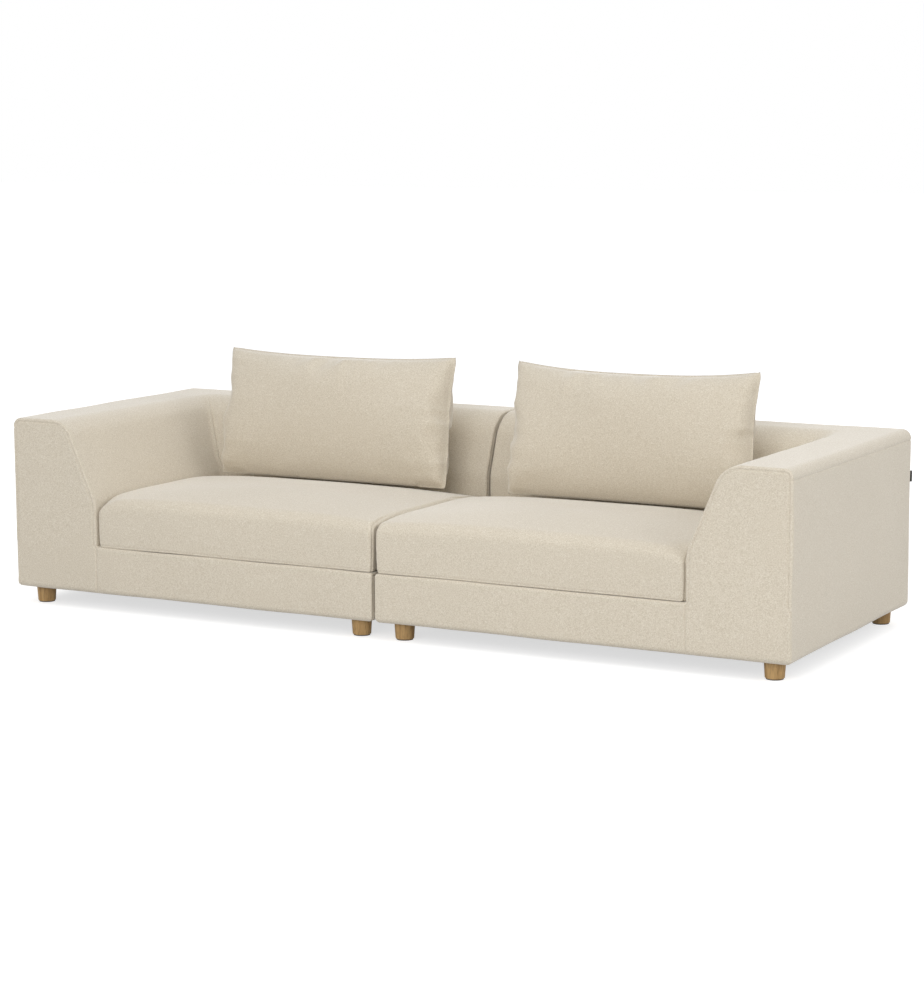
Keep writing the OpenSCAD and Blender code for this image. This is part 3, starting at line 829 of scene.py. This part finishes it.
def makeSeat(side, lattice):
    lowX, _, lowY, highY, lowZ = seatSize()
    f = seatForm
    zipLow, zipHigh, zipZ = seatZip()
    points, normal = drawOnto(seatField, readPoints(lattice.data))
    points = sewCover(points, normal, seatSeams(points), f["swell"], f["seeds"][side])
    x, y, z = points.T
    corner = np.exp(-((x - lowX) ** 2 + (y - lowY - f["dentAt"]) ** 2) / f["dentReach"] ** 2)
    corner *= smoothStep(lowZ + f["dentRise"][0], lowZ + f["dentRise"][1], z)
    points[:, 2] -= f["dent"] * corner
    inZip = smoothStep(f["zipHalf"] + f["zipFade"], f["zipHalf"] - f["zipFade"], np.abs(z - zipZ))
    inZip *= (x > zipLow - f["zipSpare"]) & (x < zipHigh + f["zipSpare"]) & (y > highY - f["zipReach"])
    points[:, 1] -= f["zipDepth"] * inZip
    return shapedCopy(side + "Seat", side, lattice, points, side + "_body_cover")


def makeSeats():
    lattice = seatLattice()
    for side in sides:
        seat = makeSeat(side, lattice)
        paint(seat, finishes["cushionLinen"])
        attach(seat, side + "_seat")
        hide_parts(side + "_seat_cover", side + "_seat_foam")
    print("seat cushions made", len(lattice.data.polygons), "faces each")
    bpy.data.objects.remove(lattice)


# back cushions: a flat sewn envelope blown up as cloth, then set leaning on the seat

pillowForm = {
    "lean": 10.5,
    "cutHeight": 0.464,
    "flare": 0.045,  # the top is cut wider than the bottom, which the seat keeps stretched
    "bowTop": 0.022,  # and bowed, so that its corners stay neat
    "sag": {"left": 0.017, "right": 0.025},  # of the top seam between its corners
    "pull": 0.008,  # of the side seams between their corners
    "sway": 0.004,
    "crumple": 0.0038,  # puckers that run in from the side seams
    "crumpleLength": 0.034,
    "crumpleReach": 0.040,
    "columns": 88,
    "rows": 46,
    "start": 0.012,  # half thickness before it is blown up
    "unevenness": 0.3,
    "creases": (0.9, 0.7),  # of the border and of the ring beside it
    "frames": 14,
    "smoothing": 6,
    "cloth": {
        "quality": 6,
        "mass": 0.2,
        "tension_stiffness": 30,
        "compression_stiffness": 30,
        "shear_stiffness": 12,
        "bending_stiffness": 2.5,
        "air_damping": 2,
        "use_pressure": True,
        "uniform_pressure_force": 2.0,
        "use_pressure_volume": True,
        "target_volume": 0.040,  # cubic metres of filling
    },
    "fin": 0.0050,  # width of the flat edge outside the seam
    "finHalf": 0.0010,
    "lipHalf": 0.0055,  # half the opening that the zip sits in
    "lipRise": 0.0008,
    "lipSpare": 0.006,  # length of the opening past each end of the zip
    "sagShape": 2.6,
    "topReach": 3,  # how fast the cloth stops following a seam that is moved: higher is faster
    "sideReach": 4,
    "underSeam": 0.0015,
    "zipAhead": 0.001,
    "bottomGap": 0.0022,
    "topGap": 0.003,
    "seatGap": 0.002,
    "backGap": 0.004,
    "front": 0.102,
    "rear": 0.130,
    "frontFullness": 0.74,  # below one a face stays flat and turns in late
    "rearFullness": 0.95,
    "cornerRadius": 0.018,
    "trim": {"left": 0.0, "right": 0.033},  # narrower on the inner side
    "seeds": {"left": 4.0, "right": 9.0},
}


def envelope(side, width, height):
    # two flat layers that share their border; each point remembers its layer, column and row
    f = pillowForm
    bm = bmesh.new()
    turn = Matrix.Rotation(math.pi / 2, 4, "X")
    bmesh.ops.create_grid(bm, x_segments=f["columns"], y_segments=f["rows"], size=0.5, matrix=turn)
    layers = [bm.verts.layers.int.new(name) for name in ("layer", "column", "row")]
    for vert in bm.verts:
        vert[layers[1]] = round((vert.co.x + 0.5) * f["columns"])
        vert[layers[2]] = round((vert.co.z + 0.5) * f["rows"])
    copied = bmesh.ops.duplicate(bm, geom=bm.verts[:] + bm.edges[:] + bm.faces[:])["geom"]
    for item in copied:
        if isinstance(item, bmesh.types.BMVert):
            item[layers[0]] = 1
    bmesh.ops.reverse_faces(bm, faces=[g for g in copied if isinstance(g, bmesh.types.BMFace)])
    for vert in bm.verts:
        u, w = 2 * vert.co.x, 2 * vert.co.z
        plump = max(0.0, (1 - u ** 4) * (1 - w ** 4)) ** 0.5
        where = Vector((u * 4, w * 2, f["seeds"][side] + 7 * vert[layers[0]]))
        uneven = 1 + f["unevenness"] * noise.noise(where)
        y = (2 * vert[layers[0]] - 1) * f["start"] * plump * uneven
        x = u * width / 2 * (1 + f["flare"] * (w + 1) / 2)
        vert.co = (x, y, (w + 1) / 2 * (height + f["bowTop"] * (1 - u * u)))
    bmesh.ops.remove_doubles(bm, verts=bm.verts, dist=1e-6)
    bmesh.ops.recalc_face_normals(bm, faces=bm.faces)
    crease = bm.edges.layers.float.new("crease_edge")
    for edge in bm.edges:
        depths = [stepsIn(v[layers[1]], v[layers[2]]) for v in edge.verts]
        edge[crease] = f["creases"][depths[0]] if depths in ([0, 0], [1, 1]) else 0
    return meshPiece(side + "Pillow", bm)


def stepsIn(column, row):
    f = pillowForm
    return min(column, f["columns"] - column, row, f["rows"] - row)


def blowUp(piece):
    f = pillowForm
    held = piece.vertex_groups.new(name="held")
    held.add([v.index for v in piece.data.vertices if v.co.z < 1e-4], 1.0, "REPLACE")
    cloth = piece.modifiers.new("cloth", "CLOTH")
    s = cloth.settings
    for setting, value in f["cloth"].items():
        setattr(s, setting, value)
    s.vertex_group_mass = "held"
    s.effector_weights.gravity = 0
    cloth.collision_settings.use_collision = False
    scene = bpy.context.scene
    for frameNumber in range(1, f["frames"] + 1):
        scene.frame_set(frameNumber)
    blown = bpy.data.meshes.new_from_object(piece.evaluated_get(bpy.context.evaluated_depsgraph_get()))
    piece.modifiers.clear()
    piece.data = blown
    scene.frame_set(1)


def pointGrid(mesh):
    # index of the point at each layer, column and row; border points stand in both layers
    f = pillowForm
    grid = np.zeros((2, f["columns"] + 1, f["rows"] + 1), dtype=int)
    keys = [[item.value for item in mesh.attributes[name].data] for name in ("layer", "column", "row")]
    for index, (layer, column, row) in enumerate(zip(*keys)):
        for own in (layer,) if stepsIn(column, row) else (0, 1):
            grid[own, column, row] = index
    return grid


def pressFin(points, grid, zipHalf):
    # presses the sewn edge flat and opens it along the bottom, where the zip sits
    f = pillowForm
    columns, rows = f["columns"], f["rows"]
    ring = [(c, r) for c in range(1, columns) for r in range(1, rows) if stepsIn(c, r) == 1]
    for column, row in ring:
        front, rear = grid[0, column, row], grid[1, column, row]
        outColumn = 0 if column == 1 else columns if column == columns - 1 else column
        outRow = 0 if row == 1 else rows if row == rows - 1 else row
        border = grid[0, outColumn, outRow]
        inward = (points[front] + points[rear]) / 2 - points[border]
        base = points[border] + inward / np.linalg.norm(inward) * f["fin"]
        apart = points[rear] - points[front]
        apart = apart / np.linalg.norm(apart)
        half = f["finHalf"]
        if row == 1 and abs(points[border][0]) < zipHalf:
            half = f["lipHalf"]
            base = points[border] + np.array([0, 0, f["lipRise"]])
            points[border][2] += f["fin"]
        points[front], points[rear] = base - apart * half, base + apart * half


def drawnIn(along, radius):
    # how far an edge stands back near a rounded corner, by the distance from that corner
    short = np.clip(radius - along, 0, 0.707 * radius)
    return radius - np.sqrt(radius ** 2 - short ** 2)


def trueSeams(points, grid, side, width, height):
    # draws the top and side seams onto smooth lines, and the cloth near them along with it
    f = pillowForm
    u = np.linspace(-1, 1, f["columns"] + 1)
    w = np.linspace(-1, 1, f["rows"] + 1)
    crest = height - f["sag"][side] * (1 - np.abs(u) ** f["sagShape"])
    crest -= drawnIn((1 - np.abs(u)) * width / 2, f["cornerRadius"])
    top = np.stack([u * width / 2, 0 * u, crest], axis=1)
    top -= points[grid[0, :, -1]]
    share = ((w + 1) / 2) ** f["topReach"]
    for layer in (0, 1):
        inside = grid[layer][:, : -1]
        points[inside] += top[:, None, :] * share[None, : -1, None]
    points[grid[0, :, -1]] += top
    for toward, column in ((-1, 0), (1, -1)):
        half = width / 2 - f["pull"] * (1 - w * w) - f["sway"] * np.sin(math.pi * w) * (1 - w * w)
        along = (w + 1) / 2 * height
        half = half - drawnIn(height - along, f["cornerRadius"]) - drawnIn(along, f["cornerRadius"])
        waves = [noise.noise(Vector((z / f["crumpleLength"], f["seeds"][side], toward))) for z in along]
        waves = np.array(waves) * np.sin(math.pi * along / height)
        edge = np.stack([toward * half, f["crumple"] * waves, along], axis=1) - points[grid[0, column, :]]
        reach = np.clip(toward * u, 0, 1) ** f["sideReach"]
        for layer in (0, 1):
            inside = grid[layer][1:-1, :-1]
            points[inside] += edge[None, :-1, :] * reach[1:-1, None, None]
            near = np.exp(-(1 - toward * u[1:-1]) * width / 2 / f["crumpleReach"])
            points[inside, 1] += 2 * f["crumple"] * near[:, None] * waves[None, :-1]
        points[grid[0, column, :]] += edge
    slant = math.tan(math.radians(f["lean"]))
    for layer in (0, 1):
        inside = grid[layer][:, 1:-1]
        under = crest[:, None] - f["underSeam"] + np.minimum(points[inside, 1], 0) * slant
        points[inside, 2] = np.minimum(points[inside, 2], under)  # no crease stands above the seam
    return points


def smoothInside(piece, rounds):
    bm = bmesh.new()
    bm.from_mesh(piece.data)
    keys = [bm.verts.layers.int[name] for name in ("column", "row")]
    inside = [v for v in bm.verts if stepsIn(v[keys[0]], v[keys[1]])]
    for _ in range(rounds):
        bmesh.ops.smooth_vert(bm, verts=inside, factor=0.5, use_axis_x=True, use_axis_y=True, use_axis_z=True)
    bm.to_mesh(piece.data)
    bm.free()


def settlePillow(side, piece, width, height):
    # trues the blown shape to its finished size
    f = pillowForm
    smoothInside(piece, f["smoothing"])
    points = readPoints(piece.data)
    across = points[:, 0].max() - points[:, 0].min()
    print(side, "cushion blown up to", np.round(points.max(0) - points.min(0), 3))
    points[:, 0] = (points[:, 0] - (points[:, 0].max() + points[:, 0].min()) / 2) * width / across
    points[:, 2] = points[:, 2] * height / points[:, 2].max()
    for toward, face in ((-1, "front"), (1, "rear")):
        own = points[:, 1] * toward > 0
        depth = points[own, 1] * toward
        points[own, 1] = toward * f[face] * (depth / depth.max()) ** f[face + "Fullness"]
    grid = pointGrid(piece.data)
    points = trueSeams(points, grid, side, width, height)
    zipLow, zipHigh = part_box(side + "_pillow_zip")
    pressFin(points, grid, (zipHigh.x - zipLow.x) / 2 + f["lipSpare"])
    return points


def leanPillow(points, side):
    f = pillowForm
    low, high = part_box(side + "_pillow_cover")
    lean = math.radians(f["lean"])
    zipLow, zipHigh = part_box(side + "_pillow_zip")
    seamY = (zipLow.y + zipHigh.y) / 2 - f["zipAhead"]
    trim = f["trim"][side]
    centre = (low.x + trim + high.x) / 2 if side == "right" else (low.x + high.x) / 2
    x = points[:, 0] + centre
    y = seamY + points[:, 2] * math.sin(lean) + points[:, 1] * math.cos(lean)
    z = low.z + f["bottomGap"] + points[:, 2] * math.cos(lean) - points[:, 1] * math.sin(lean)
    return np.stack([x, y, z], axis=1)


def restPillow(points):
    # flattens the cushion where it lies on the seat and leans on the back
    f, b = pillowForm, bodyForm
    _, _, rear, _, crest = bodySize()
    x, y, z = points.T
    moduleLow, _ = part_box("left_body_cover")
    fromOuter = np.abs(moduleLow.x) - np.abs(x)
    rest = seatTop(fromOuter, y) + f["seatGap"]
    points[:, 2] += np.maximum(rest - z, 0)
    face = rear - wallWidth(z, b["backFoot"], b["backTop"], b["backBend"], crest)
    points[:, 1] = np.where(z < crest, np.minimum(y, face - f["backGap"]), y)
    return points


def makePillow(side):
    f = pillowForm
    low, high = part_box(side + "_pillow_cover")
    width = high.x - low.x - f["trim"][side]
    height = (high.z - low.z - f["topGap"]) / math.cos(math.radians(f["lean"]))
    pillow = envelope(side, width, f["cutHeight"])
    blowUp(pillow)
    points = settlePillow(side, pillow, width, height)
    points = restPillow(leanPillow(points, side))
    writePoints(pillow.data, points)
    for face in pillow.data.polygons:
        face.use_smooth = True
    soften = pillow.modifiers.new("soften", "SUBSURF")
    soften.levels = soften.render_levels = 1
    return pillow


def makePillows():
    for side in sides:
        pillow = makePillow(side)
        paint(pillow, finishes["cushionLinen"])
        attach(pillow, side + "_pillow")
        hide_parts(side + "_pillow_cover", side + "_pillow_fill")
    print("back cushions made")


# care tab: a folded ribbon sewn into the rear edge

tabForm = {
    "fold": 0.0011,  # radius of the fold
    "thick": 0.0004,
    "steps": 14,
    "reach": 0.004,  # longer than its stand-in
    "tuck": 0.001,  # hidden in the seam
    "swingAt": 0.004,
    "swing": 42,  # degrees towards the outer side
}


def makeTab():
    f = tabForm
    low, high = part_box("label_tab")
    centre = (low.x + high.x) / 2
    reach = high.y + f["reach"] - f["fold"] - f["thick"]
    bm = bmesh.new()
    start = [bm.verts.new((centre - f["fold"], low.y - f["tuck"], low.z)),
             bm.verts.new((centre - f["fold"], low.y - f["tuck"], high.z))]
    edge = bm.edges.new(start)
    def push(edges, vec):
        grown = bmesh.ops.extrude_edge_only(bm, edges=edges)["geom"]
        bmesh.ops.translate(bm, vec=vec, verts=[g for g in grown if isinstance(g, bmesh.types.BMVert)])
        return [g for g in grown if isinstance(g, bmesh.types.BMEdge)]
    far = push([edge], (0, reach - low.y, 0))
    far = [e for e in far if abs(e.verts[0].co.y - e.verts[1].co.y) < 1e-6]
    bent = bmesh.ops.spin(bm, geom=far + list(far[0].verts), cent=(centre, reach, low.z), axis=(0, 0, -1),
                          angle=math.pi, steps=f["steps"], use_merge=False)["geom_last"]
    last = [g for g in bent if isinstance(g, bmesh.types.BMEdge)]
    push(last, (0, low.y - reach, 0))
    bmesh.ops.solidify(bm, geom=bm.faces[:], thickness=f["thick"])
    bmesh.ops.recalc_face_normals(bm, faces=bm.faces)
    bmesh.ops.rotate(bm, cent=(centre, low.y - f["swingAt"], low.z), verts=bm.verts,
                     matrix=Matrix.Rotation(math.radians(-f["swing"]), 3, "Z"))
    tab = meshPiece("careTab", bm)
    paint(tab, finishes["tabWeave"])
    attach(tab, "right_module")
    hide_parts("label_tab")
    print("tab made")


# finishes of the parts that keep their own shape

partFinish = {
    "pine": ("base_frame", "corner_blocks", "arm_frame", "back_frame"),
    "oak": ("leg_front_outer", "leg_front_inner", "leg_rear_outer", "leg_rear_inner"),
    "felt": ("leg_glides",),
    "springSteel": ("seat_springs",),
    "zincSteel": ("spring_clips", "leg_studs", "leg_t_nuts", "connector_screws", "connector_blades",
                  "connector_jaws", "seat_zip_slider", "pillow_zip_slider"),
    "batting": ("deck_pad",),
    "nonWoven": ("dust_cover",),
    "zipTape": ("seat_zip", "pillow_zip"),
    "tabWeave": ("label_tab",),
}


def finishParts():
    finishOf = {part: finish for finish, parts in partFinish.items() for part in parts}
    for name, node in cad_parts.items():
        part = name.removeprefix("left_").removeprefix("right_")
        paint(node, finishes[finishOf.get(part, "foam" if "foam" in part or "fill" in part else "linen")])
    print("parts finished")


makeCamera()
makeStudio()
finishes = makeFinishes()
finishParts()
makeBodies()
makeSeats()
makePillows()
makeTab()
